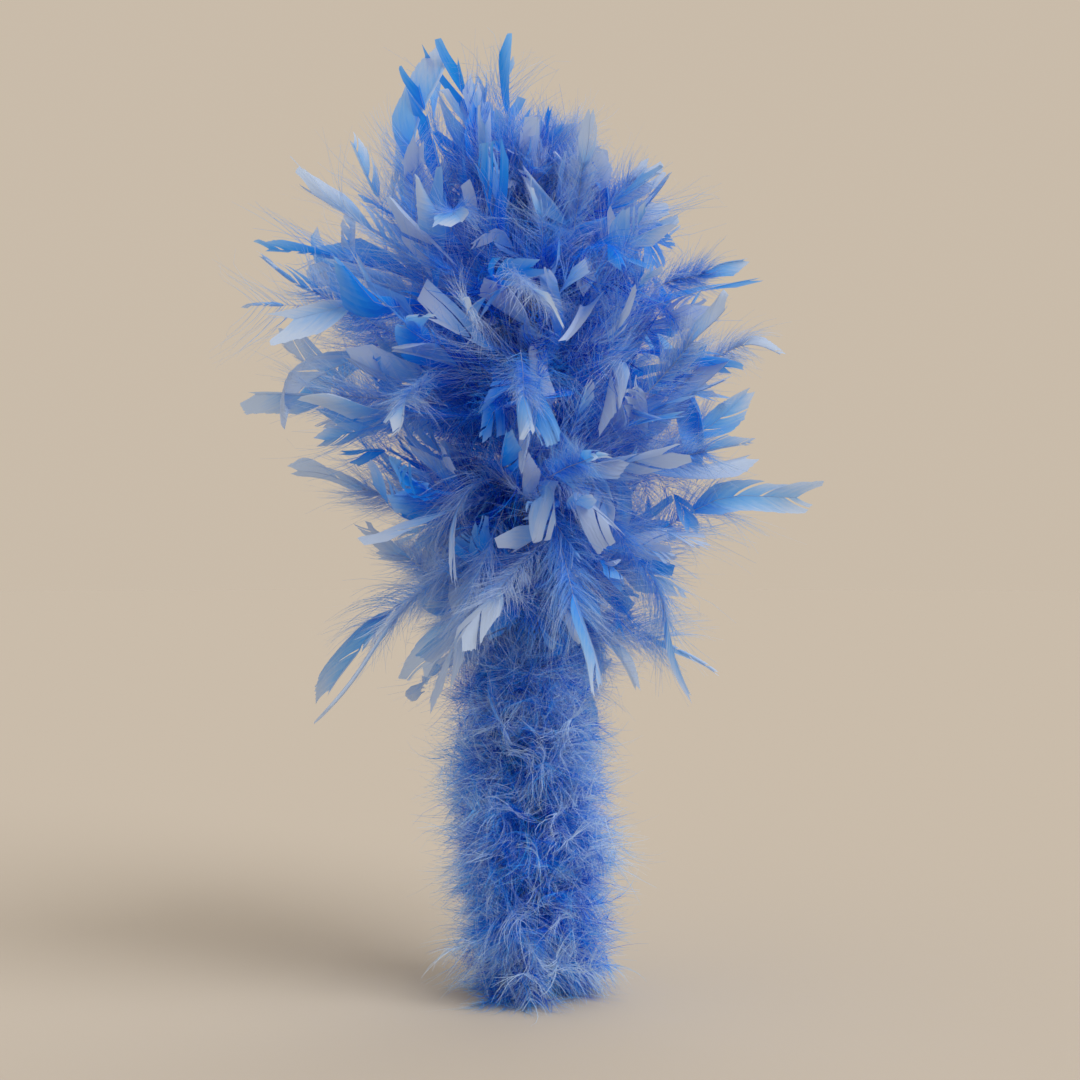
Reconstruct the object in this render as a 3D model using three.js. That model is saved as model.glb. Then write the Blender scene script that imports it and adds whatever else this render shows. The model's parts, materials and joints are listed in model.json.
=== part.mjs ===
// Stand-up feather boa plume: a stiff rod with two feather boas wound up it. A short marabou boa
// (soft down on a twisted cord) covers the stem, and a chandelle boa (long stripped feathers on a
// cord) makes the head. Millimetres, +Z up, origin at the middle of the rod's lower end.
import * as THREE from 'three';
import { LoftGeometry } from 'three/addons/geometries/LoftGeometry.js';

const TURN = 2 * Math.PI;
const { degToRad, lerp, smoothstep } = THREE.MathUtils;

// Clearances
const gap = 0.4;              // between pieces that touch
const quillClear = 3;         // from the pile's edge to a long feather's hinge

// Rod and foot collar
const rodRadius = 6;
const rodSides = 24;
const rodChamfer = 1;
const collarRadius = 12.5;
const collarHeight = 7;
const collarRound = 1.5;

// Cords and thread whippings
const cordRadius = 1.5;
const cordSides = 8;
const cordStepsPerTurn = 12;
const threadWall = 1.2;       // how far the whipping thread builds up
const whipHeight = 9;
const whipSides = 32;
const tailPoints = 3;         // route points in the straight tail through a whipping
const leadLength = 6;         // straight cord between a whipping and the winding
const footWhipRoom = 3;       // from the collar up to the foot whipping
const joinWhipRoom = 4;       // from the join whipping up to the chandelle boa
const crownWhipRoom = 6;      // from the crown whipping up to the rod's end

// Marabou boa on the stem
const marabouRadius = 44;
const marabouPitch = 42;
const marabouTurns = 4;
const collarRoom = 2;         // from the collar up to the first feathers
const marabouBase = collarHeight + collarRoom;

// Chandelle boa on the head
const neckRadius = 48;
const bellyRadius = 100;
const crownRadius = 22;
const bellyShare = 0.62;      // where the head is widest, as a share of its height
const chandellePitch = 52;
const chandelleTurns = 5;
const joinRoom = 18;          // height in which one boa ends and the other starts
const chandelleBase = marabouBase + marabouTurns * marabouPitch + joinRoom;

// Tuft that closes the crown
const tuftRadius = 26;
const tuftHeight = 30;

// Section of a turn of boa: full height near the cord, thin at the feather tips
const turnSteps = 22;
const shoulderRadius = 0.5;   // share of the turn's radius
const shoulderHeight = 0.84;  // share of the turn's half height
const edgeRadius = 0.86;
const edgeHeight = 0.5;
const tipHeight = 0.16;

// Long feathers
const quillRadius = 1;
const spineThickness = 1;     // half thickness of a blade along its quill
const vaneThickness = 0.35;   // half thickness of a blade at its edge
const bladeSteps = 8;
const vaneFrom = 0.08;        // share of the length where the bare quill starts to widen
const vaneFull = 0.45;        // share where the vane reaches its full width
const tipFrom = 0.7;          // share where it narrows to its tip
const tipShare = 0.4;         // width left at a blunt tip

const colours = {
  wood: { color: 0xb98f5e, roughness: 0.7, metalness: 0 },
  clear: { color: 0xd9dde0, roughness: 0.3, metalness: 0 },
  thread: { color: 0x1d3f9e, roughness: 0.8, metalness: 0 },
  marabou: { color: 0x3f74cf, roughness: 0.95, metalness: 0 },
  chandelle: { color: 0x6c9adf, roughness: 0.75, metalness: 0 },
  vane: { color: 0x9dbde8, roughness: 0.6, metalness: 0 },
};

const boaPlume = new THREE.Group();

function add(name, geometry, finish, parent = boaPlume) {
  const mesh = new THREE.Mesh(geometry, new THREE.MeshStandardMaterial(finish));
  mesh.name = name;
  parent.add(mesh);
  return mesh;
}

// A lathe turned about +Z instead of three.js's +Y
function turned(outline, sides) {
  const points = outline.map(([r, z]) => new THREE.Vector2(r, z));
  return new THREE.LatheGeometry(points, sides).rotateX(Math.PI / 2);
}

// ---- Rod and collar ----------------------------------------------------------------------

// The rod reaches to the top of the upper boa.
const chandelleTop = chandelleBase + (chandelleTurns + 1) * chandellePitch;
const rodHeight = chandelleTop;

function rod() {
  return turned([
    [0, 0],
    [rodRadius, 0],
    [rodRadius, rodHeight - rodChamfer],
    [rodRadius - rodChamfer, rodHeight],
    [0, rodHeight],
  ], rodSides);
}

function collar() {
  const bore = rodRadius + gap;
  return turned([
    [bore, 0],
    [collarRadius, 0],
    [collarRadius, collarHeight - collarRound],
    [collarRadius - collarRound, collarHeight],
    [bore, collarHeight],
    [bore, 0],
  ], rodSides);
}

add('core_rod', rod(), colours.wood);
add('foot_collar', collar(), colours.clear);

// ---- Core cords --------------------------------------------------------------------------

// The cords lie against the rod, and the piles of feathers start outside the whippings.
const layRadius = rodRadius + cordRadius + 2 * gap;
const whipReach = layRadius + cordRadius + gap + threadWall;
const boreRadius = whipReach + gap;

const footWhipZ = collarHeight + footWhipRoom;
const joinWhipZ = chandelleBase - whipHeight - joinWhipRoom;
const crownWhipZ = rodHeight - whipHeight - crownWhipRoom;

function polar(radius, angle, z) {
  return new THREE.Vector3(radius * Math.cos(angle), radius * Math.sin(angle), z);
}

// A straight tail through the lower whipping, a helix up the rod in quarter turns, and a second
// straight tail through the upper whipping.
function cordRoute(lowWhip, highWhip, pitch, startAngle) {
  const low = lowWhip + whipHeight + leadLength;
  const room = highWhip - leadLength - low;
  const turns = Math.floor((4 * room) / pitch) / 4;
  const steps = Math.round(turns * cordStepsPerTurn);
  const end = startAngle + turns * TURN;
  const tail = (angle, whip) => [-gap, whipHeight / 2, whipHeight + gap]
    .map((z) => polar(layRadius, angle, whip + z));
  const points = tail(startAngle, lowWhip);
  for (let i = 0; i <= steps; i++) {
    const share = i / steps;
    points.push(polar(layRadius, startAngle + share * turns * TURN, low + share * turns * pitch));
  }
  points.push(...tail(end, highWhip));
  return { path: new THREE.CatmullRomCurve3(points), steps: steps + 2 * tailPoints, end };
}

function cord(route) {
  const section = new THREE.Shape().absarc(0, 0, cordRadius, 0, TURN);
  return new THREE.ExtrudeGeometry(section, {
    steps: route.steps,
    curveSegments: cordSides / 2,
    extrudePath: route.path,
  });
}

const marabouStart = 0;
const marabouRoute = cordRoute(footWhipZ, joinWhipZ, marabouPitch, marabouStart);
const chandelleStart = marabouRoute.end + Math.PI;
const chandelleRoute = cordRoute(joinWhipZ, crownWhipZ, chandellePitch, chandelleStart);

add('marabou_cord', cord(marabouRoute), colours.thread);
add('chandelle_cord', cord(chandelleRoute), colours.thread);

// ---- Whippings ---------------------------------------------------------------------------

// The outline of a thread pulled round several circles: for each direction, the point furthest
// out on whichever circle reaches furthest that way.
function threadRound(circles, grow) {
  const points = [];
  for (let i = 0; i < whipSides; i++) {
    const out = new THREE.Vector2(1, 0).rotateAround(new THREE.Vector2(), (i / whipSides) * TURN);
    const reach = (c) => c.centre.dot(out) + c.radius;
    const outermost = circles.reduce((best, c) => (reach(c) > reach(best) ? c : best));
    points.push(outermost.centre.clone().addScaledVector(out, outermost.radius + grow));
  }
  return points;
}

function whipping(...cordAngles) {
  const circles = cordAngles.map((angle) => ({
    centre: new THREE.Vector2(layRadius * Math.cos(angle), layRadius * Math.sin(angle)),
    radius: cordRadius,
  }));
  circles.push({ centre: new THREE.Vector2(), radius: rodRadius });
  const ring = new THREE.Shape(threadRound(circles, gap + threadWall));
  ring.holes.push(new THREE.Path(threadRound(circles, gap)));
  return new THREE.ExtrudeGeometry(ring, { depth: whipHeight, bevelEnabled: false });
}

add('foot_whipping', whipping(marabouStart), colours.thread).position.z = footWhipZ;
add('join_whipping', whipping(marabouRoute.end, chandelleStart), colours.thread).position.z = joinWhipZ;
add('crown_whipping', whipping(chandelleRoute.end), colours.thread).position.z = crownWhipZ;

// ---- Turns of boa ------------------------------------------------------------------------

// Both boas climb counterclockwise from azimuth 0. `turn` counts turns from the boa's start.
const marabou = { base: marabouBase, pitch: marabouPitch, radius: () => marabouRadius };
const chandelle = { base: chandelleBase, pitch: chandellePitch, radius: headRadius };

function turnHeight(boa, turn) {
  return boa.base + boa.pitch * (turn + 0.5);
}

// Egg-shaped head: it swells smoothly from the neck to the belly, and closes to the crown as a cosine.
function headRadius(z) {
  const share = (z - chandelleBase) / (chandelleTop - chandelleBase);
  if (share < bellyShare) return lerp(neckRadius, bellyRadius, smoothstep(share, 0, bellyShare));
  const towardsCrown = Math.min((share - bellyShare) / (1 - bellyShare), 1);
  return lerp(crownRadius, bellyRadius, Math.cos(towardsCrown * Math.PI / 2));
}

// One turn of boa, from its own start at azimuth 0 and height 0, lofted along the helix. It stops
// just short of a full turn, so that it clears the start of the next.
function boaTurn(boa, index) {
  const sweep = TURN - gap / boreRadius;
  const half = (boa.pitch - gap) / 2;
  const sections = [];
  for (let i = 0; i <= turnSteps; i++) {
    const angle = (i / turnSteps) * sweep;
    const rise = (boa.pitch * angle) / TURN;
    const radius = boa.radius(turnHeight(boa, index) + rise);
    const upper = [
      [boreRadius, half],
      [Math.max(radius * shoulderRadius, boreRadius + gap), half * shoulderHeight],
      [Math.max(radius * edgeRadius, boreRadius + 2 * gap), half * edgeHeight],
      [Math.max(radius, boreRadius + 3 * gap), half * tipHeight],
    ];
    const lower = upper.map(([r, z]) => [r, -z]).reverse();
    sections.push([...upper, ...lower].map(([r, z]) => polar(r, angle, rise + z)));
  }
  return new LoftGeometry(sections, { capStart: true, capEnd: true });
}

function wind(name, boa, turns, finish) {
  for (let index = 0; index < turns; index++) {
    add(`${name}_turn_${index + 1}`, boaTurn(boa, index), finish).position.z = turnHeight(boa, index);
  }
}

wind('marabou', marabou, marabouTurns, colours.marabou);
wind('chandelle', chandelle, chandelleTurns, colours.chandelle);

// A bud of short feathers over the rod's upper end
function tuft() {
  return turned([
    [0, 0],
    [tuftRadius * 0.6, 0],
    [tuftRadius, tuftHeight * 0.35],
    [tuftRadius * 0.8, tuftHeight * 0.7],
    [tuftRadius * 0.35, tuftHeight * 0.95],
    [0, tuftHeight],
  ], turnSteps);
}

add('crown_tuft', tuft(), colours.chandelle).position.z = rodHeight + gap;

// ---- Long feathers -----------------------------------------------------------------------

// A blade in its own frame: its quill leaves the origin towards +X, `rise` degrees above level, and
// its centre line is a parabola that turns up by `bend` degrees. `roll` turns its flat about it.
function blade({ length, width, rise, bend, roll }) {
  const along = (degrees) => new THREE.Vector3(Math.cos(degToRad(degrees)), 0, Math.sin(degToRad(degrees)));
  const middle = along(rise).multiplyScalar(length / 2);
  const tip = middle.clone().addScaledVector(along(rise + bend), length / 2);
  const spine = new THREE.QuadraticBezierCurve3(new THREE.Vector3(), middle, tip);
  const sections = [];
  for (let i = 0; i <= bladeSteps; i++) {
    const share = i / bladeSteps;
    const tangent = spine.getTangent(share);
    const across = new THREE.Vector3(0, 1, 0).applyAxisAngle(tangent, degToRad(roll));
    const out = new THREE.Vector3().crossVectors(tangent, across);
    const narrowing = (1 - tipShare) * smoothstep(share, tipFrom, 1);
    const fullness = smoothstep(share, vaneFrom, vaneFull) * (1 - narrowing);
    const half = lerp(quillRadius, width / 2, fullness);
    const edge = lerp(quillRadius / 2, vaneThickness, smoothstep(share, 0, vaneFull));
    const ring = [[half, -edge], [half, edge], [0, spineThickness]];
    const section = [...ring, ...ring.map(([a, b]) => [-a, -b])];
    sections.push(section.map(([a, b]) => spine.getPoint(share)
      .addScaledVector(across, a)
      .addScaledVector(out, b)));
  }
  return new LoftGeometry(sections, { capStart: true, capEnd: true });
}

// A feather hinges where it leaves the pile: `turn` says where along the chandelle boa its quill is
// tied, `heading` is the azimuth it points to, and it flexes about the line across its flat. A
// positive turn about hingeAxis, which is in the feather's own frame, lifts its tip.
function longFeather(name, feather) {
  const z = turnHeight(chandelle, feather.turn);
  const mesh = add(name, blade(feather), colours.vane);
  mesh.position.copy(polar(headRadius(z) + quillClear, feather.turn * TURN, z));
  mesh.rotation.z = degToRad(feather.heading);
  const quill = new THREE.Vector3(Math.cos(degToRad(feather.rise)), 0, Math.sin(degToRad(feather.rise)));
  mesh.userData.hingeAxis = new THREE.Vector3(0, -1, 0).applyAxisAngle(quill, degToRad(feather.roll));
}

const leftFeathers = [
  { turn: 3.53, heading: 185, rise: 26, bend: 12, length: 80, width: 24, roll: 70 },
  { turn: 3.44, heading: 166, rise: 30, bend: 68, length: 110, width: 22, roll: 78 },
  { turn: 2.49, heading: 178, rise: 38, bend: 8, length: 80, width: 24, roll: 65 },
  { turn: 2.575, heading: 190, rise: 4, bend: -8, length: 82, width: 20, roll: 60 },
  { turn: 1.515, heading: 184, rise: 20, bend: -16, length: 72, width: 12, roll: 75 },
  { turn: 0.565, heading: 190, rise: 34, bend: 10, length: 58, width: 18, roll: 60 },
  { turn: 0.43, heading: 176, rise: -20, bend: -50, length: 124, width: 26, roll: 72 },
  { turn: 0.6, heading: 198, rise: -42, bend: -12, length: 116, width: 22, roll: 40 },
];

const rightFeathers = [
  { turn: 0.03, heading: 2, rise: -16, bend: -26, length: 80, width: 20, roll: -60 },
  { turn: 0.91, heading: 345, rise: -60, bend: -12, length: 108, width: 18, roll: -40 },
  { turn: 1, heading: 0, rise: 37, bend: -46, length: 122, width: 18, roll: -72 },
  { turn: 1.945, heading: 350, rise: 8, bend: 6, length: 54, width: 20, roll: -60 },
  { turn: 2.04, heading: 8, rise: 36, bend: 4, length: 70, width: 20, roll: -70 },
  { turn: 2.98, heading: 0, rise: 42, bend: -78, length: 72, width: 18, roll: -72 },
  { turn: 2.895, heading: 335, rise: 44, bend: 4, length: 52, width: 18, roll: -55 },
  { turn: 3.95, heading: 356, rise: 18, bend: -6, length: 44, width: 20, roll: -60 },
];

const frontFeathers = [
  { turn: 0.675, heading: 228, rise: -60, bend: -8, length: 96, width: 22, roll: 12 },
  { turn: 0.735, heading: 236, rise: -30, bend: -16, length: 78, width: 26, roll: 8 },
  { turn: 0.8, heading: 294, rise: -54, bend: -10, length: 94, width: 20, roll: -10 },
  { turn: 1.79, heading: 300, rise: 14, bend: -20, length: 52, width: 24, roll: -35 },
  { turn: 2.64, heading: 258, rise: -24, bend: -22, length: 58, width: 24, roll: 18 },
  { turn: 2.745, heading: 276, rise: -44, bend: -12, length: 50, width: 24, roll: -12 },
  { turn: 4.64, heading: 275, rise: -8, bend: -26, length: 60, width: 20, roll: 12 },
  { turn: 3.745, heading: 300, rise: -24, bend: -28, length: 60, width: 20, roll: -25 },
];

const crownFeathers = [
  { turn: 4.565, heading: 188, rise: 83, bend: 34, length: 122, width: 24, roll: 82 },
  { turn: 4.46, heading: 172, rise: 74, bend: 34, length: 98, width: 20, roll: 76 },
  { turn: 4.83, heading: 290, rise: 64, bend: 6, length: 52, width: 18, roll: -60 },
  { turn: 4.96, heading: 350, rise: 48, bend: -60, length: 38, width: 14, roll: -70 },
  { turn: 4.18, heading: 72, rise: 56, bend: 14, length: 80, width: 24, roll: 20 },
  { turn: 4.34, heading: 118, rise: 60, bend: -12, length: 74, width: 22, roll: -24 },
];

// Two feathers stand out of the back of each lower turn: low ones droop, and higher ones rise.
const backFeathers = [];
for (let level = 0; level < chandelleTurns - 1; level++) {
  for (const side of [-1, 1]) {
    backFeathers.push({
      turn: level + 0.25 + side * 0.11,
      heading: 90 + side * 34,
      rise: -34 + 20 * level,
      bend: -14 + 7 * level,
      length: 92 - 5 * level,
      width: 24,
      roll: side * 22,
    });
  }
}

const plumes = {
  left: leftFeathers,
  right: rightFeathers,
  front: frontFeathers,
  crown: crownFeathers,
  back: backFeathers,
};
for (const [place, feathers] of Object.entries(plumes)) {
  feathers.forEach((feather, i) => longFeather(`${place}_feather_${i + 1}`, feather));
}

export default boaPlume;
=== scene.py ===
"""Stand-up feather boa plume: a marabou boa (soft down) and a chandelle boa (long feathers) wound up a rod.

Metres, +Z up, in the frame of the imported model. Every feather is a spine that carries barbs. A barb is a
narrow ribbon, and where barbs lie side by side they close up into the flat vane near a feather's tip.
"""
import json
import math

import bpy
import numpy as np
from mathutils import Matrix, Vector

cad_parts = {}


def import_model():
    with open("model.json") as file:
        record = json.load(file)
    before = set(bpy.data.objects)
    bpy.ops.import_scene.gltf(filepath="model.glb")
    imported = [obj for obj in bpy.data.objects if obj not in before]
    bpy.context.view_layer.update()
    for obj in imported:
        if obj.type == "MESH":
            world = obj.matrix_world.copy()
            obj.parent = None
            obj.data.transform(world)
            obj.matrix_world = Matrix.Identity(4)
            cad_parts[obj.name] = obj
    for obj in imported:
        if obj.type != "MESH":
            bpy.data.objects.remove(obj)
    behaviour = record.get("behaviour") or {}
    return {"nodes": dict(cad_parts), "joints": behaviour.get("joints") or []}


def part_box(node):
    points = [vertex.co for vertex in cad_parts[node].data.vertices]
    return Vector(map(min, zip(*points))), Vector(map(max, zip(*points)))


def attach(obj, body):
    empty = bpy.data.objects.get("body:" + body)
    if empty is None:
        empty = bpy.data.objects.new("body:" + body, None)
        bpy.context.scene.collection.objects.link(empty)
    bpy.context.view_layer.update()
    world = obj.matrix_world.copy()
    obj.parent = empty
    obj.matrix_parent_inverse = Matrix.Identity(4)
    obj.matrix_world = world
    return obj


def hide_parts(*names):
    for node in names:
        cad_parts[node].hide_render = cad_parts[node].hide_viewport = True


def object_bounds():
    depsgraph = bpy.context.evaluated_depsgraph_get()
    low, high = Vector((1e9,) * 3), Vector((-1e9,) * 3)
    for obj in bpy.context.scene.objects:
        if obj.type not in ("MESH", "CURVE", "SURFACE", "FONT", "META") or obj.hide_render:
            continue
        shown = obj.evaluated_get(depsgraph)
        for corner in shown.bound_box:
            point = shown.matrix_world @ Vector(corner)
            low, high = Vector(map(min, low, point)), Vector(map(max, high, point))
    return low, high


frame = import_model()
cad_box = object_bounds()
rng = np.random.default_rng(20)

MM = 0.001
UV = "OFBake"                 # along a barb, and its shade
QUILL_SHADE = 0.02            # the shade that the quill takes: below every barb's
LOWEST_SHADE = 0.1
FLOOR_CLEAR = 0.6 * MM
BARB_WIDTH = 0.28 * MM


# ---------------------------------------------------------------- small maths

def smooth(x):
    """0 below 0, 1 above 1, and 3x^2 - 2x^3 between."""
    x = np.clip(x, 0.0, 1.0)
    return x * x * (3.0 - 2.0 * x)


def unit(v):
    """Vectors of length 1."""
    return v / np.maximum(np.linalg.norm(v, axis=-1, keepdims=True), 1e-12)


def spread(middle, half, *shape):
    """Random values, even between middle - half and middle + half."""
    return middle + half * rng.uniform(-1.0, 1.0, shape)


def running_sum(start, direction, length):
    """Points of a curve from its directions: the start plus the sum of each step's mean direction."""
    count = direction.shape[-2]
    step = (direction[..., 1:, :] + direction[..., :-1, :]) / 2 * (length / (count - 1))[..., None, None]
    ends = np.cumsum(step, axis=-2)
    return start[..., None, :] + np.concatenate([np.zeros_like(ends[..., :1, :]), ends], axis=-2)


class Spine:
    """Centre lines of many feathers: points, directions, and the two directions square to them, across and
    out of the feather's flat. Each is an array of feathers by stations by xyz."""

    def __init__(self, points, along, across):
        self.points = points
        self.along = unit(along)
        self.across = unit(across - self.along * np.sum(across * self.along, axis=-1, keepdims=True))
        self.out = np.cross(self.along, self.across)
        self.length = np.linalg.norm(np.diff(points, axis=1), axis=-1).sum(axis=1)

    def at(self, share):
        """Point, along, across and out at each share of the length, straight between stations."""
        place = np.clip(share, 0, 1) * (self.points.shape[1] - 1)
        low = np.minimum(place.astype(int), self.points.shape[1] - 2)
        part = (place - low)[..., None]
        row = np.arange(len(self.points)).reshape((-1,) + (1,) * (share.ndim - 1))
        return [a[row, low] * (1 - part) + a[row, low + 1] * part
                for a in (self.points, self.along, self.across, self.out)]


def grown_spine(root, heading, rise, length, bend, sway, roll, twist, fold=0, veer=0, fold_at=0.7, crease=0.1,
                steps=16):
    """Spines from angles in degrees. At share s the feather climbs at rise + bend s and points to
    heading + sway s. Past fold_at it turns by fold more upwards and veer more sideways, within the share
    crease of its length. Its flat is turned about it by roll + twist s."""
    s = np.linspace(0, 1, steps)
    n = len(root)
    degrees = (heading, rise, bend, sway, roll, twist, fold, veer)
    angles = [np.radians(np.broadcast_to(a, n))[:, None] for a in degrees]
    heading, rise, bend, sway, roll, twist, fold, veer = angles
    fold_at, crease = [np.broadcast_to(a, n)[:, None] for a in (fold_at, crease)]
    past = smooth((s - fold_at) / crease + 0.5)
    climb = rise + bend * s + fold * past
    turn = heading + sway * s + veer * past
    level = np.stack([np.cos(turn), np.sin(turn), 0 * turn], axis=-1)
    side = np.stack([-np.sin(turn), np.cos(turn), 0 * turn], axis=-1)
    up = np.array([0.0, 0.0, 1.0])
    along = np.cos(climb)[..., None] * level + np.sin(climb)[..., None] * up
    turned = (roll + twist * s)[..., None]
    across = np.cos(turned) * side + np.sin(turned) * np.cross(along, side)
    return Spine(running_sum(root, along, length), along, across)


# ---------------------------------------------------------------- surfaces

class Skin:
    """Gathers patches, each a grid of points with a (share, shade) pair at each, and makes them one mesh."""

    def __init__(self):
        self.points, self.faces, self.coords, self.count = [], [], [], 0

    def add(self, grid, share, shade, around=False):
        """grid is patches by rows by columns by xyz, and share and shade spread over it. around closes the
        columns into a ring."""
        patches, rows, columns = grid.shape[:3]
        index = self.count + np.arange(patches * rows * columns).reshape(patches, rows, columns)
        if around:
            index = np.concatenate([index, index[:, :, :1]], axis=2)
        low, high = index[:, :-1], index[:, 1:]
        corners = [low[:, :, :-1], low[:, :, 1:], high[:, :, 1:], high[:, :, :-1]]
        self.faces.append(np.stack(corners, axis=-1).reshape(-1, 4))
        self.points.append(grid.reshape(-1, 3))
        both = np.stack(np.broadcast_arrays(share, shade), axis=-1)
        self.coords.append(np.broadcast_to(both, (patches, rows, columns, 2)).reshape(-1, 2))
        self.count += patches * rows * columns

    def piece(self, name, material, body, slot, *replaced):
        """Makes the mesh, held above the floor, and hands it to the frame as a piece of the body."""
        points = np.concatenate(self.points)
        points[:, 2] = np.maximum(points[:, 2], FLOOR_CLEAR)
        faces, coords = np.concatenate(self.faces), np.concatenate(self.coords)
        mesh = bpy.data.meshes.new(name)
        mesh.vertices.add(len(points))
        mesh.vertices.foreach_set("co", points.astype(np.float32).ravel())
        mesh.loops.add(faces.size)
        mesh.loops.foreach_set("vertex_index", faces.astype(np.int32).ravel())
        mesh.polygons.add(len(faces))
        mesh.polygons.foreach_set("loop_start", np.arange(0, faces.size, 4, dtype=np.int32))
        mesh.uv_layers.new(name=UV).uv.foreach_set("vector", coords[faces.ravel()].astype(np.float32).ravel())
        mesh.update(calc_edges=True)
        mesh.shade_smooth()
        mesh.materials.append(material)
        ob = bpy.data.objects.new(name, mesh)
        bpy.context.scene.collection.objects.link(ob)
        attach(ob, body)
        if replaced:
            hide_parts(*replaced)
        print(f"{name}: {2 * len(faces)} triangles")
        return ob


def free_barbs(spine, share, side, length, angle, turn_in, lift, curl, steps, sag=0.0, stray=0.0):
    """Barbs that leave a spine freely. At share v a barb points at angle - turn_in v from the spine, to the
    given side, and lifts out of the flat by lift + curl v (degrees). sag lets its end fall, and stray bends
    it at random."""
    point, along, across, out = [a[..., None, :] for a in spine.at(share)]
    v = np.linspace(0, 1, steps)
    wander = stray * rng.normal(size=share.shape + (3,))[..., None, :] * (v ** 1.5)[:, None]
    opening = np.radians(angle[..., None] - turn_in * v)[..., None]
    raising = np.radians(lift[..., None] + curl[..., None] * v)[..., None]
    flat = np.cos(opening) * along + np.sin(opening) * (side * across)
    direction = unit(np.cos(raising) * flat + np.sin(raising) * out + wander)
    curve = running_sum(point[..., 0, :], direction, length)
    curve[..., 2] -= sag * length[..., None] * v ** 2
    return curve, direction, np.broadcast_to(out, direction.shape)


def carried_barbs(spine, share, side, length, angle, turn_in, lift, curl, steps, stray=0.0):
    """Barbs in a sheet that the spine carries, so that they bend, twist and crease with it. In the sheet a
    barb runs at angle - turn_in v from the spine, and the sheet lifts out of the flat by lift + curl v
    (degrees). stray moves its end at random."""
    v = np.linspace(0, 1, steps)
    opening = np.radians(angle[..., None] - turn_in * v)
    middle = (opening[..., 1:] + opening[..., :-1]) / 2
    step = (length / (steps - 1))[..., None]
    start = np.zeros_like(step)
    ahead = np.concatenate([start, step * np.cumsum(np.cos(middle), axis=-1)], axis=-1)
    apart = np.concatenate([start, step * np.cumsum(np.sin(middle), axis=-1)], axis=-1)
    point, _, across, out = spine.at(share[..., None] + ahead / spine.length[:, None, None])
    raising = np.radians(lift[..., None] + curl[..., None] * v)
    level, lifted = side * apart * np.cos(raising), apart * np.sin(raising)
    curve = point + level[..., None] * across + lifted[..., None] * out
    curve = curve + stray * (length[..., None] * v ** 2)[..., None] * rng.normal(size=share.shape + (1, 3))
    return curve, unit(np.gradient(curve, axis=-2)), out


def add_hairs(skin, curve, direction, out, width, shade, tip=0.3):
    """Free barbs: ribbons along the curves, each turned at random about its own line. They narrow to the
    share tip of their width."""
    steps = curve.shape[-2]
    v = np.linspace(0, 1, steps)
    width = np.broadcast_to(width, shade.shape)[..., None, None]
    turn = rng.uniform(0, np.pi, curve.shape[:-2])[..., None, None]
    flat = unit(np.cross(out, direction))
    edge = np.cos(turn) * flat + np.sin(turn) * np.cross(direction, flat)
    half = edge * width / 2 * (1 - (1 - tip) * v[:, None])
    grid = np.stack([curve - half, curve + half], axis=-2).reshape(-1, steps, 2, 3)
    skin.add(grid, v[None, :, None], shade.reshape(-1)[:, None, None])


def add_vane(skin, curve, shade, split):
    """A flat vane: each pair of neighbouring barbs is joined by a strip, except where the vane is split."""
    grid = np.stack([curve[:, :-1], curve[:, 1:]], axis=-2)[~split]
    grain = spread(0, 0.035, *split.shape)
    tone = np.clip(shade[:, 1:] + grain, LOWEST_SHADE, 1)[~split]
    skin.add(grid, np.linspace(0, 1, curve.shape[-2])[None, :, None], tone[:, None, None])


def add_quill(skin, spine, radius, reach, steps=10, sides=3):
    """A thin tube along each spine up to the share reach, narrowing to a point."""
    share = np.linspace(0, 1, steps)[None] * reach[:, None]
    point, _, across, out = spine.at(share)
    angle = np.arange(sides) * 2 * np.pi / sides
    thick = radius[:, None] * (1 - 0.85 * np.linspace(0, 1, steps) ** 1.5)
    ring = np.cos(angle)[:, None] * across[..., None, :] + np.sin(angle)[:, None] * out[..., None, :]
    skin.add(point[..., None, :] + ring * thick[..., None, None], share[..., None], QUILL_SHADE, around=True)


# ---------------------------------------------------------------- materials

class Value:
    """A socket that does shader maths: an expression on values adds its Math nodes."""

    def __init__(self, shader, socket):
        self.shader, self.socket = shader, socket

    def maths(self, operation, first, second):
        return self.shader.node("ShaderNodeMath", {"operation": operation}, {0: first, 1: second})

    def __add__(self, other):
        return self.maths("ADD", self, other)

    def __sub__(self, other):
        return self.maths("SUBTRACT", self, other)

    def __mul__(self, other):
        return self.maths("MULTIPLY", self, other)

    def __rsub__(self, other):
        return self.maths("SUBTRACT", other, self)

    def __lt__(self, other):
        return self.maths("LESS_THAN", self, other)

    __radd__, __rmul__ = __add__, __mul__


class Shader:
    """A material's node tree."""

    def __init__(self, name):
        self.material = bpy.data.materials.new(name)
        self.material.use_nodes = True
        self.tree = self.material.node_tree
        self.tree.nodes.clear()

    def node(self, kind, settings=None, inputs=None, output=0):
        """Adds a node, sets its settings, then its inputs, and gives the chosen output as a Value."""
        made = self.tree.nodes.new(kind)
        for key, value in (settings or {}).items():
            if key == "stops":
                ramp = made.color_ramp.elements
                while len(ramp) < len(value):
                    ramp.new(0.5)
                for element, (place, colour) in zip(ramp, value):
                    element.position, element.color = place, (*colour, 1)
            else:
                setattr(made, key, value)
        for key, value in (inputs or {}).items():
            if isinstance(value, Value):
                self.tree.links.new(value.socket, made.inputs[key])
            else:
                made.inputs[key].default_value = value
        return Value(self, made.outputs[output]) if made.outputs else None

    def mix(self, factor, first, second):
        """A mix of two colours. The node's colour sockets are inputs 6 and 7 and output 2."""
        return self.node("ShaderNodeMix", {"data_type": "RGBA"}, {0: factor, 6: first, 7: second}, output=2)

    def finish(self, surface):
        self.node("ShaderNodeOutputMaterial", None, {"Surface": surface})
        return self.material


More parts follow.
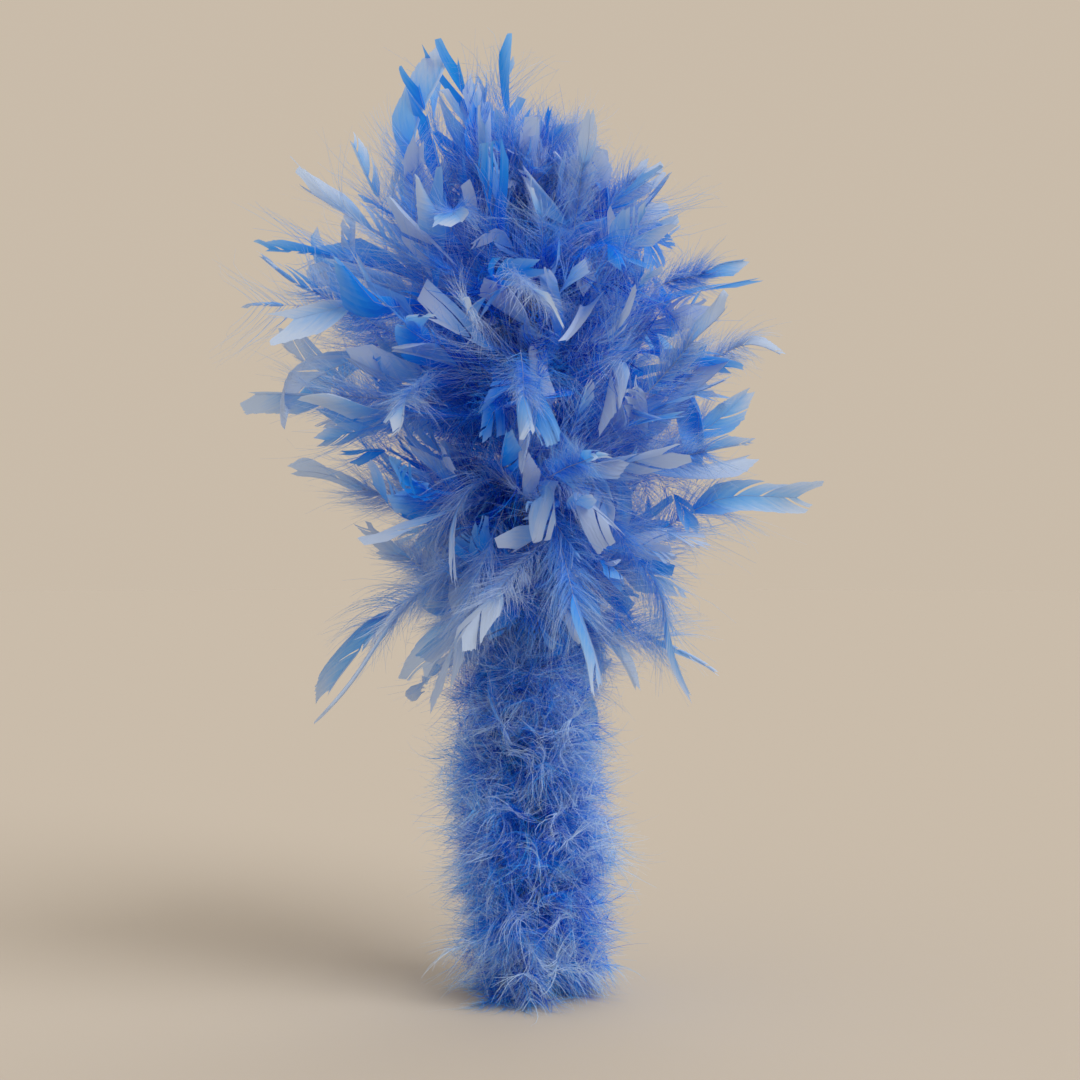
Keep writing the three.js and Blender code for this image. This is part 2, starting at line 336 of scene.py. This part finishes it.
def feather_material(name, stops, along, quill, glow, roughness, gloss):
    """Dyed feather, with painted light and shade. Each barb has a shade, and it grows paler by along from its
    root
    to its tip: partly the dye, and partly painted light where thin tips let the light through. The colour
    goes from deep to pale by stops, with fine streaks from barb to barb; its deepest stops carry the painted
    shade deep in the fluff. The share glow of the light comes through a barb in the barb's own colour."""
    s = Shader(name)
    uv = s.node("ShaderNodeUVMap", {"uv_map": UV})
    share = s.node("ShaderNodeSeparateXYZ", None, {"Vector": uv}, output="X")
    shade = s.node("ShaderNodeSeparateXYZ", None, {"Vector": uv}, output="Y")
    streak_at = s.node("ShaderNodeCombineXYZ", None, {"X": share * 4.0, "Y": shade * 110.0})
    streak = s.node("ShaderNodeTexNoise", None, {"Vector": streak_at, "Scale": 1.0, "Detail": 2.0})
    # Paler towards each barb's tip by along: partly the dye, partly painted light through the thin tips.
    level = shade + share * along + streak * 0.16 - 0.08
    dye_and_painted_light = s.node("ShaderNodeValToRGB", {"stops": stops}, {0: level})
    colour = s.mix(shade < LOWEST_SHADE / 2, dye_and_painted_light, (*quill, 1))
    body = s.node("ShaderNodeBsdfPrincipled", None, {
        "Base Color": colour, "Roughness": roughness, "Specular IOR Level": gloss})
    through = s.node("ShaderNodeBsdfTranslucent", None, {"Color": colour})
    return s.finish(s.node("ShaderNodeMixShader", None, {0: glow, 1: body, 2: through}))


def wood_material():
    """Turned dowel: long grain up the rod, from stretched noise, with a fine bump."""
    s = Shader("dowel_wood")
    place = s.node("ShaderNodeTexCoord", output="Object")
    long = s.node("ShaderNodeMapping", None, {"Vector": place, "Scale": (900.0, 900.0, 30.0)})
    grain = s.node("ShaderNodeTexNoise", None, {"Vector": long, "Scale": 1.0, "Detail": 4.0})
    stops = [(0.3, (0.16, 0.09, 0.045)), (0.7, (0.42, 0.27, 0.14))]
    colour = s.node("ShaderNodeValToRGB", {"stops": stops}, {0: grain})
    bump = s.node("ShaderNodeBump", None, {"Height": grain, "Strength": 0.3, "Distance": 0.0005})
    return s.finish(s.node("ShaderNodeBsdfPrincipled", None, {
        "Base Color": colour, "Roughness": grain * 0.3 + 0.45, "Normal": bump}))


def collar_material():
    """Milky clear plastic with faint moulding marks."""
    s = Shader("collar_plastic")
    place = s.node("ShaderNodeTexCoord", output="Object")
    cloud = s.node("ShaderNodeTexNoise", None, {"Vector": place, "Scale": 160.0, "Detail": 3.0})
    colour = s.mix(cloud, (0.74, 0.77, 0.8, 1), (0.86, 0.87, 0.88, 1))
    bump = s.node("ShaderNodeBump", None, {"Height": cloud, "Strength": 0.1, "Distance": 0.0005})
    return s.finish(s.node("ShaderNodeBsdfPrincipled", None, {
        "Base Color": colour, "Roughness": cloud * 0.2 + 0.2, "Normal": bump,
        "Transmission Weight": 0.35, "IOR": 1.46}))


def thread_material():
    """Dyed twisted cotton: slanting plies from a wave over height and angle, with a bump, and painted shade
    in the grooves between the plies.
    """
    s = Shader("dyed_thread")
    place = s.node("ShaderNodeTexCoord", output="Object")
    slant = s.node("ShaderNodeMapping", None, {"Vector": place, "Rotation": (0.5, 0.4, 0.0)})
    plies = s.node("ShaderNodeTexWave", {"bands_direction": "Z"}, {
        "Vector": slant, "Scale": 420.0, "Distortion": 2.0, "Detail": 2.0}, output="Fac")
    # Darker where the bump is low: painted shade in the grooves between the plies.
    colour = s.mix(plies, (0.006, 0.02, 0.13, 1), (0.03, 0.09, 0.42, 1))
    bump = s.node("ShaderNodeBump", None, {"Height": plies, "Strength": 0.7, "Distance": 0.0004})
    return s.finish(s.node("ShaderNodeBsdfPrincipled", None, {
        "Base Color": colour, "Roughness": 0.85, "Normal": bump}))


# The near-black blue stops give the painted shade deep in the down and between the feathers; the pale greyish
# top stops are partly painted light through thin tips.
MARABOU = feather_material(
    "marabou_down",
    [(0.0, (0.0003, 0.011, 0.26)), (0.35, (0.002, 0.12, 0.86)), (0.65, (0.015, 0.36, 1.0)),
     (0.85, (0.18, 0.54, 1.0)), (1.0, (0.54, 0.73, 0.98))],
    along=0.5, quill=(0.42, 0.55, 0.8), glow=0.4, roughness=0.6, gloss=0.12)
CHANDELLE = feather_material(
    "chandelle_feather",
    [(0.0, (0.0003, 0.011, 0.26)), (0.3, (0.002, 0.13, 0.88)), (0.55, (0.018, 0.33, 1.0)),
     (0.78, (0.21, 0.49, 0.94)), (1.0, (0.52, 0.66, 0.89))],
    along=0.25, quill=(0.44, 0.56, 0.82), glow=0.45, roughness=0.5, gloss=0.25)


# ---------------------------------------------------------------- the boas' turns

def turn_of(node):
    """Height of a turn's start, its rise per turn, and its outer radius, from its solid's box. The solid
    spans the turn's own height twice: once for its climb and once for its thickness."""
    low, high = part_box(node)
    rise = (high[2] - low[2]) / 2
    radius = (high[0] - low[0]) / 2
    return low[2] + rise / 2, rise, radius


def count_nodes(start):
    """How many of the frame's nodes have names that begin with start."""
    return sum(name.startswith(start) for name in frame["nodes"])


COLLAR_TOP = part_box("foot_collar")[1][2]
CORD_HALF_THICK = 1.5 * MM
cord_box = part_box("marabou_cord")
CORD_RADIUS = (cord_box[1][0] - cord_box[0][0]) / 2 - CORD_HALF_THICK


def on_cord(node, count):
    """Random places round one turn of cord: azimuth in degrees and point, even along the turn."""
    start, rise, _ = turn_of(node)
    turn = (np.arange(count) + rng.uniform(0, 1, count)) / count
    azimuth = 360 * turn
    angle = np.radians(azimuth)
    root = np.stack([CORD_RADIUS * np.cos(angle), CORD_RADIUS * np.sin(angle), start + rise * turn], axis=-1)
    return azimuth, root


# ---------------------------------------------------------------- marabou

MARABOU_PLUMES = 380          # per turn
MARABOU_BARBS = 31            # per side of a plume
MARABOU_FLUFF = 27 * MM       # how long a barb is
PALE_PLUMES = 0.24            # share of the plumes that are pale and thick
PALE_WIDTH, DEEP_WIDTH = 0.46 * MM, 0.26 * MM


def marabou_turn(number, lowest, highest, fullness, spare=0.0):
    """A turn of marabou: short plumes stand out of the cord at every slope from lowest to highest (degrees),
    and each fans its down from both sides. They stop where the next turn's start, so the turns close up.
    A spare share of them is tied lower, down to the collar, where the boa's end is gathered in. The down is
    pushed into clumps round the turn, with painted shade on the sparser down between the clumps, and each
    turn is fuller on one side."""
    node = f"marabou_turn_{number}"
    _, rise, radius = turn_of(node)
    azimuth, root = on_cord(node, MARABOU_PLUMES)
    n = len(root)
    gathered = rng.uniform(COLLAR_TOP, root[:, 2])
    root[:, 2] = np.where(rng.uniform(size=n) < spare, gathered, root[:, 2])
    lean = rng.uniform(lowest, highest, n)
    around = np.radians(azimuth)
    clump = np.sin(3 * around + 2.2 * number) * np.sin(np.radians(3 * lean) + 1.3 * number)
    one_side = 1 + (0.13 - 0.027 * number ** 2) * np.cos(around)
    level = (radius - CORD_RADIUS) * fullness * one_side * (1 + 0.16 * clump) / np.cos(np.radians(lean))
    steep = rise * 0.75 / np.maximum(np.abs(np.sin(np.radians(lean))), 0.05)
    spine = grown_spine(
        root, heading=azimuth + spread(0, 40, n), rise=lean,
        length=np.minimum(level, steep) * spread(0.84, 0.3, n),
        bend=60 * np.cos(2 * around + number) + spread(0, 30, n),
        sway=80 * np.sin(3 * around + 2 * number) + spread(0, 40, n),
        roll=spread(0, 90, n), twist=spread(0, 70, n), steps=8)
    skin = Skin()
    pale = rng.uniform(size=n) < PALE_PLUMES
    # Plumes fall darker where the clumps thin out: painted shade between the clumps.
    shade = np.where(pale, 1.05, spread(0.32, 0.28, n) + 0.26 * clump)
    for side in (-1, 1):
        share = np.sort(rng.uniform(0.15, 1.0, (n, MARABOU_BARBS)), axis=1)
        chance = rng.uniform(0, 1, (n, MARABOU_BARBS))
        reach = MARABOU_FLUFF * (0.5 + 0.5 * chance + 0.7 * chance ** 6) * (1 - 0.2 * share)
        curve, direction, out = free_barbs(
            spine, share, side, reach, angle=spread(58, 16, n, MARABOU_BARBS), turn_in=30,
            lift=spread(0, 14, n, MARABOU_BARBS), curl=spread(0, 75, n, 1) + spread(0, 16, n, MARABOU_BARBS),
            steps=5, sag=0.06, stray=0.2)
        # Barbs darken towards the plume's root, deep in the down: painted shade.
        tone = shade[:, None] + spread(0, 0.2, n, MARABOU_BARBS) + 1.1 * (share - 0.72)
        tone = np.clip(tone, LOWEST_SHADE, 1)
        width = np.where(pale, PALE_WIDTH, DEEP_WIDTH)[:, None]
        add_hairs(skin, curve, direction, out, width, tone, tip=0.25)
    return skin.piece(f"marabou_down_{number}", MARABOU, "stem", "marabou_down", node)


MARABOU_TURNS = count_nodes("marabou_turn_")
for number in range(1, MARABOU_TURNS + 1):
    first, last = number == 1, number == MARABOU_TURNS
    marabou_turn(number, lowest=-70 if first else -60, highest=74 if last else 60,
                 fullness=1.22 - 0.028 * number ** 2, spare=0.5 if first else 0)


# ---------------------------------------------------------------- chandelle

QUILL_REACH = 0.9             # share of a feather where its quill ends and only vane goes on
QUILL_RADIUS = 0.35 * MM
FRINGE_FROM = 0.12            # share of a feather where its combed barbs begin
LOCK_END = 0.14               # chance that a lock of combed barbs ends at a barb


def add_ribbon(skin, spine, side, wide, vane_from, slant, cup, tone, barbs, splits):
    """One side of a feather's vane: a ribbon whose barbs run almost along the quill. They reach its outer
    edge, or stop on the line on which its end is cut: ahead = slant times apart. The ribbon parts here and
    there, and the barbs of each part lie together."""
    n = len(spine.points)
    step = np.linspace(0, 1, barbs)[None]
    share = vane_from[:, None] + (QUILL_REACH - vane_from[:, None]) * step ** 0.9
    angle, turn_in = spread(31, 5, n, 1), 15
    group = np.cumsum(rng.uniform(size=(n, barbs)) < splits, axis=1)
    parting = np.take_along_axis(rng.normal(size=(n, barbs)), group, axis=1)
    mean = np.radians(angle - turn_in / 2)
    to_edge = wide[:, None] / np.sin(mean)
    to_cut = spine.length[:, None] * (1 - share) / (np.cos(mean) - slant[:, None] * np.sin(mean))
    length = np.minimum(to_edge, to_cut) * (1 + 0.05 * parting) * spread(1, 0.03, n, barbs)
    angle = angle + 2.2 * parting
    lift, curl = cup[:, None] * 0.4 + 4 * parting, cup[:, None] + 5 * parting
    curve, _, _ = carried_barbs(spine, share, side, length, angle, turn_in, lift, curl, steps=6)
    # Darker towards the feather's root and paler towards its tip: painted shade deep in the pile, and partly
    # painted light through the thin tips.
    shade = np.clip(tone[:, None] * (0.25 + 0.85 * share), LOWEST_SHADE, 1)
    add_vane(skin, curve, shade, np.diff(group, axis=1) > 0)


def add_fringe(skin, spine, side, last, long, tone, barbs):
    """Long loose barbs, combed into locks that lie side by side along the quill, up to the share last."""
    n = len(spine.points)
    stretch = (last - FRINGE_FROM)[:, None]
    share = FRINGE_FROM + stretch * np.sort(rng.uniform(0, 1, (n, barbs)), axis=1)
    group = np.cumsum(rng.uniform(size=(n, barbs)) < LOCK_END, axis=1)
    lock = np.take_along_axis(rng.normal(size=(n, barbs)), group, axis=1)
    length = long[:, None] * spread(1, 0.2, n, barbs) * (1 + 0.12 * lock)
    curve, direction, out = carried_barbs(
        spine, share, side, length, angle=spread(40, 6, n, 1) + 6 * lock + spread(0, 8, n, barbs), turn_in=20,
        lift=8 * lock + spread(0, 12, n, barbs),
        curl=spread(0, 30, n, 1) + 10 * lock + spread(0, 20, n, barbs), steps=5, stray=0.12)
    # The combed barbs darken towards the root the same way: painted shade deep in the pile, and paler at the
    # tip partly by painted light.
    shade = np.clip(tone[:, None] * (0.6 + 0.5 * share) + spread(0, 0.14, n, barbs), LOWEST_SHADE, 0.95)
    add_hairs(skin, curve, direction, out, BARB_WIDTH, shade)


def add_down(skin, spine, side, last, long, tone, barbs):
    """Fluff round the root of a feather, up to the share last."""
    n = len(spine.points)
    share = rng.uniform(0.05, 1.0, (n, barbs)) * last[:, None]
    curve, direction, out = free_barbs(
        spine, share, side, long * spread(1, 0.35, n, barbs), angle=spread(56, 16, n, barbs), turn_in=28,
        lift=spread(0, 22, n, barbs), curl=spread(0, 35, n, 1) + spread(0, 26, n, barbs), steps=5, sag=0.05,
        stray=0.25)
    # The down round the root is kept darker: painted shade deep in the pile.
    shade = np.clip(tone[:, None] * 0.7 + spread(0, 0.2, n, barbs), LOWEST_SHADE, 0.9)
    add_hairs(skin, curve, direction, out, BARB_WIDTH, shade)


def dress(skin, spine, tone, half_width, vane_from, ribbon_barbs=18, fringe_barbs=62, down_barbs=32,
          fringe=34 * MM, down=20 * MM, splits=0.1, cup=28.0):
    """Gives each spine its quill, a ribbon of vane towards the tip, combed barbs below it, and down at the
    root. Stripped feathers keep a wide vane on one side, and a strip of it or nothing on the other."""
    n = len(spine.points)
    add_quill(skin, spine, np.full(n, QUILL_RADIUS), np.full(n, QUILL_REACH))
    wide_side = np.where(rng.uniform(size=n) < 0.5, -1, 1)
    other = np.where(rng.uniform(size=n) < 0.6, 0.12, rng.uniform(0.3, 0.9, n))
    cup = rng.normal(0, cup, n)
    for side in (-1, 1):
        wide = half_width * np.where(wide_side == side, 1.0, other)
        slant = np.where(rng.uniform(size=n) < 0.6, spread(-2.4, 1.2, n), spread(0, 0.5, n))
        add_ribbon(skin, spine, side, wide, vane_from, slant, cup, tone, ribbon_barbs, splits)
        add_fringe(skin, spine, side, vane_from + 0.1, fringe * spread(1, 0.25, n), tone, fringe_barbs)
        add_down(skin, spine, side, vane_from, down, tone, down_barbs)


# Outline of the head by height, from the solids of its turns.
TURNS = count_nodes("chandelle_turn_")
turn_boxes = [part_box(f"chandelle_turn_{k}") for k in range(1, TURNS + 1)]
tuft_low, tuft_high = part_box("crown_tuft")
stem_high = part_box(f"marabou_turn_{count_nodes('marabou_turn_')}")[1]
outline_z = [turn_boxes[0][0][2]] + [(low[2] + high[2]) / 2 for low, high in turn_boxes] + [tuft_high[2]]
outline_r = [stem_high[0]] + [(high[0] - low[0]) / 2 for low, high in turn_boxes] + [tuft_high[0] * 0.6]
HEAD_LOW, HEAD_HIGH = outline_z[0], tuft_low[2]
CROWN_MARGIN = 12 * MM


def reach_outline(root, heading, rise, factor):
    """How far each feather grows in its own direction before it meets the head's outline times its factor, or
    comes near the crown's top."""
    tries = np.linspace(20, 150, 40) * MM
    heading, rise = np.radians(heading), np.radians(rise)
    way = np.stack([np.cos(rise) * np.cos(heading), np.cos(rise) * np.sin(heading), np.sin(rise)], axis=-1)
    ends = root[:, None] + way[:, None] * tries[None, :, None]
    wide = np.interp(ends[..., 2], outline_z, outline_r) * factor[:, None]
    past = (np.hypot(ends[..., 0], ends[..., 1]) > wide) | (ends[..., 2] > tuft_high[2] - CROWN_MARGIN)
    past[:, -1] = True
    return tries[np.argmax(past, axis=1)]


def head_share(z):
    """Height in the head: 0 at its neck and 1 at its crown."""
    return (z - HEAD_LOW) / (HEAD_HIGH - HEAD_LOW)


def head_rise(z):
    """Slope in degrees: feathers droop at the head's neck, stand out level above it and rise at the crown."""
    return -38 + 100 * head_share(z)


def shoulder(root, heading):
    """Factor on the feathers' lengths: the pile is fuller high up on its left, falls away on the right of its
    crown, and is less deep than it is wide."""
    height = head_share(root[:, 2])
    right, front = np.cos(np.radians(heading)), np.sin(np.radians(heading))
    bulge = 0.5 * np.minimum(right, 0) ** 2 * np.exp(-((height - 0.72) / 0.2) ** 2)
    slope = 0.25 * np.maximum(right, 0) * smooth((height - 0.7) / 0.3)
    return (1 - 0.1 * front ** 2) * (1 + bulge) * (1 - slope)


FEATHERS = 84                 # per turn
INNER_PLUMES = 95             # per turn
INNER_BARBS = 26              # per side
INNER_FLUFF = 24 * MM
INNER_WIDTH = 0.6 * MM
CROWN_FEATHERS = 52
CROWN_WINDS = 3.6             # turns in which the crown's feathers are tied
CROWN_DEPTH = 34 * MM         # how far below the crown's solid their roots lie


def some(share, values):
    """The values for this share of the feathers, and 0 for the others."""
    return np.where(rng.uniform(size=len(values)) < share, values, 0)


def chandelle_turn(number):
    """A turn of chandelle: feathers as long as the head is wide. Many turn over at the pile's edge, some in a
    sharp crease, so that they lie along it and show their flats. Some are downy and keep only a tip of vane,
    and some are broad."""
    node = f"chandelle_turn_{number}"
    azimuth, root = on_cord(node, FEATHERS)
    n = len(root)
    heading = azimuth + rng.normal(0, 24, n)
    rise = head_rise(root[:, 2]) + rng.normal(0, 18, n)
    reach = reach_outline(root, heading, rise, spread(1.16, 0.22, n))
    length = reach * spread(1.12, 0.12, n) * shoulder(root, heading)
    bend = rng.normal(0, 38, n)
    bend = np.where(rise < -10, np.abs(bend), bend)      # drooping feathers curl back up
    spine = grown_spine(
        root, heading, rise, length, bend, sway=rng.normal(0, 38, n), roll=spread(0, 90, n),
        twist=rng.normal(0, 55, n),
        fold=some(0.75, rng.normal(0, 65, n)), veer=some(0.75, rng.normal(0, 65, n)),
        fold_at=spread(0.6, 0.14, n), crease=np.where(rng.uniform(size=n) < 0.3, 0.08, 0.5))
    skin = Skin()
    downy = rng.uniform(size=n) < 0.3
    broad = np.where(rng.uniform(size=n) < 0.16, 1.5, 1.0)
    dress(skin, spine, tone=spread(0.8, 0.36, n), half_width=spread(12, 4, n) * broad * MM,
          vane_from=np.where(downy, spread(0.72, 0.08, n), spread(0.42, 0.12, n)))
    return skin.piece(f"chandelle_feathers_{number}", CHANDELLE, "stem", "chandelle_down", node)


def inner_down(number):
    """Down deep in the head, which closes the gaps between the feathers. It is dark, as painted shade for the
    head's hollow core.
    """
    azimuth, root = on_cord(f"chandelle_turn_{number}", INNER_PLUMES)
    n = len(root)
    heading = azimuth + spread(0, 40, n)
    rise = head_rise(root[:, 2]) + spread(0, 42, n)
    shorter = 0.9 - 0.35 * smooth((head_share(root[:, 2]) - 0.7) / 0.3)
    length = reach_outline(root, heading, rise, spread(0.62, 0.16, n)) * shorter
    spine = grown_spine(
        root, heading, rise, length, bend=spread(0, 40, n), sway=spread(0, 60, n), roll=spread(0, 90, n),
        twist=spread(0, 70, n), steps=8)
    skin = Skin()
    # Deep dark tones: painted shade in the hollow of the head.
    shade = spread(0.2, 0.16, n)
    for side in (-1, 1):
        share = rng.uniform(0.1, 1.0, (n, INNER_BARBS))
        curve, direction, out = free_barbs(
            spine, share, side, INNER_FLUFF * spread(1, 0.35, n, INNER_BARBS),
            angle=spread(58, 16, n, INNER_BARBS), turn_in=28, lift=spread(0, 18, n, INNER_BARBS),
            curl=spread(0, 50, n, INNER_BARBS), steps=4, sag=0.05, stray=0.2)
        tone = np.clip(shade[:, None] + spread(0, 0.2, n, INNER_BARBS), LOWEST_SHADE, 0.9)
        add_hairs(skin, curve, direction, out, INNER_WIDTH, tone)
    return skin.piece(f"inner_down_{number}", MARABOU, "stem", "chandelle_down")


for number in range(1, TURNS + 1):
    chandelle_turn(number)
    inner_down(number)


def crown_tuft():
    """Short feathers that stand up round the rod's end and hide it."""
    n = CROWN_FEATHERS
    azimuth = 360 * (np.arange(n) + 0.5) / n * CROWN_WINDS
    angle = np.radians(azimuth)
    ring = CORD_RADIUS * spread(1, 0.5, n)
    depth = np.full(n, tuft_low[2] - CROWN_DEPTH)
    root = np.stack([ring * np.cos(angle), ring * np.sin(angle), depth], axis=-1)
    heading, rise = azimuth + spread(0, 30, n), spread(54, 32, n)
    length = reach_outline(root, heading, rise, spread(1.05, 0.15, n)) * 0.85
    spine = grown_spine(
        root, heading, rise, length, bend=rng.normal(-14, 20, n), sway=spread(0, 30, n),
        roll=spread(0, 80, n), twist=spread(0, 50, n), fold=some(0.4, rng.normal(0, 50, n)),
        fold_at=spread(0.7, 0.1, n))
    skin = Skin()
    dress(skin, spine, tone=spread(0.84, 0.3, n), half_width=spread(11, 4, n) * MM,
          vane_from=spread(0.36, 0.1, n), fringe=26 * MM, down=16 * MM)
    return skin.piece("crown_feathers", CHANDELLE, "stem", "chandelle_down", "crown_tuft")


crown_tuft()


# ---------------------------------------------------------------- long feathers

BLADE_CORNERS = 6             # corners of a section of a long feather's solid
QUILL_INWARD = 0.42           # how far a quill runs on past its hinge, as a share of the feather outside it


def blade_of(node, root):
    """A blade's centre line and flat from its solid: its root is its hinge, its tip is the section furthest
    from there, and its middle is the section that lies as far from one end as from the other. The centre line
    is the parabola through them, and the flat's direction and width are that section's longest line."""
    mesh = frame["nodes"][node].data
    corners = np.empty(len(mesh.vertices) * 3, dtype=np.float32)
    mesh.vertices.foreach_get("co", corners)
    corners = np.unique(np.round(corners.reshape(-1, 3), 6), axis=0).astype(float)
    far = np.linalg.norm(corners - root, axis=1)
    tip = corners[np.argsort(far)[-BLADE_CORNERS:]].mean(axis=0)
    uneven = np.abs(far - np.linalg.norm(corners - tip, axis=1))
    section = corners[np.argsort(uneven)[:BLADE_CORNERS]]
    middle = section.mean(axis=0)
    gaps = section[:, None] - section[None]
    widest = np.unravel_index(np.argmax(np.linalg.norm(gaps, axis=-1)), gaps.shape[:2])
    return 2 * middle - (root + tip) / 2, tip, gaps[widest]


def long_feather(joint):
    """A long feather on its own body. Its quill runs on inwards from the hinge, into the down."""
    node = joint["child"]
    root = np.array(joint["pos_m"])
    control, tip, flat = blade_of(node, root)
    width = np.linalg.norm(flat)
    s = np.linspace(-QUILL_INWARD, 0.98, 20)[:, None]
    t = np.maximum(s, 0)
    curve = (1 - t) ** 2 * root + 2 * t * (1 - t) * control + t ** 2 * tip
    curve = curve + np.minimum(s, 0) * 2 * (control - root)
    along = np.gradient(curve, axis=0)
    sideways, outward = unit(flat), unit(np.cross(tip - root, flat))
    length = np.linalg.norm(tip - root)
    wave = length * (spread(0, 0.03) * np.sin(2 * np.pi * t) + spread(0, 0.02) * np.sin(3 * np.pi * t))
    curve = curve + wave * sideways + length * spread(0, 0.03) * np.sin(2 * np.pi * t) * outward
    spine = Spine(curve[None], along[None], np.broadcast_to(sideways, curve.shape)[None])
    skin = Skin()
    dress(skin, spine, spread(1.0, 0.18, 1), np.array([width * 0.6]), vane_from=spread(0.46, 0.08, 1),
          ribbon_barbs=34, fringe_barbs=180, down_barbs=80, fringe=min(34 * MM, 0.36 * length), splits=0.05,
          cup=20)
    return skin.piece(node + "_plume", CHANDELLE, node, "feather_vane", node)


for joint in frame["joints"]:
    long_feather(joint)


# ---------------------------------------------------------------- rod, collar and thread

HARD = {"core_rod": wood_material(), "foot_collar": collar_material()}
THREAD = thread_material()
for name in ("core_rod", "foot_collar", "marabou_cord", "chandelle_cord",
             "foot_whipping", "join_whipping", "crown_whipping"):
    slots = frame["nodes"][name].data.materials
    slots.clear()
    slots.append(HARD.get(name, THREAD))


# ---------------------------------------------------------------- floor, light and camera

FLOOR_RADIUS = 9.0
MIDDLE_HEIGHT = 0.475         # height of the camera, as a share of the plume's
CAMERA_BACK = 1.08


def floor():
    """A wide round plain floor under the foot, of a colour that meets the world's at the horizon."""
    s = Shader("plain_floor")
    material = s.finish(s.node("ShaderNodeBsdfPrincipled", None, {
        "Base Color": (0.46, 0.428, 0.386, 1), "Roughness": 0.9, "Specular IOR Level": 0.0}))
    angle = np.linspace(0, 2 * np.pi, 96, endpoint=False)
    edge = FLOOR_RADIUS * np.stack([np.cos(angle), np.sin(angle), 0 * angle], axis=-1)
    mesh = bpy.data.meshes.new("floor")
    mesh.from_pydata(edge.tolist(), [], [list(range(len(edge)))])
    mesh.materials.append(material)
    ob = bpy.data.objects.new("floor", mesh)
    bpy.context.scene.collection.objects.link(ob)


def soft_sun(name, place, strength, softness, colour):
    """A broad, far light from the direction of place."""
    data = bpy.data.lights.new(name, "SUN")
    data.energy, data.angle, data.color = strength, math.radians(softness), colour
    ob = bpy.data.objects.new(name, data)
    ob.location = place
    ob.rotation_euler = Vector(place).to_track_quat("Z", "Y").to_euler()
    bpy.context.scene.collection.objects.link(ob)


def world():
    """Plain even light from all round, warm as the floor."""
    made = bpy.data.worlds.new("plain_studio")
    made.use_nodes = True
    back = made.node_tree.nodes["Background"]
    back.inputs["Color"].default_value = (0.68, 0.58, 0.465, 1)
    back.inputs["Strength"].default_value = 0.86
    bpy.context.scene.world = made


def camera():
    """Level, at the middle of the plume's height, far enough back to leave a margin all round it."""
    data = bpy.data.cameras.new("camera")
    data.lens, data.sensor_width = 60, 36
    ob = bpy.data.objects.new("camera", data)
    ob.location = (0.006, -CAMERA_BACK, MIDDLE_HEIGHT * cad_box[1][2])
    ob.rotation_euler = (math.radians(90), 0, 0)
    bpy.context.scene.collection.objects.link(ob)
    bpy.context.scene.camera = ob


floor()
world()
soft_sun("key", (1.0, -0.9, 1.3), 2.3, 40, (1.0, 0.97, 0.93))
soft_sun("fill", (-1.3, -1.1, 0.7), 0.35, 90, (1.0, 0.95, 0.88))
soft_sun("back", (0.4, 1.4, 1.2), 0.7, 60, (1.0, 0.97, 0.92))
camera()
bpy.context.scene.view_settings.view_transform = "Standard"
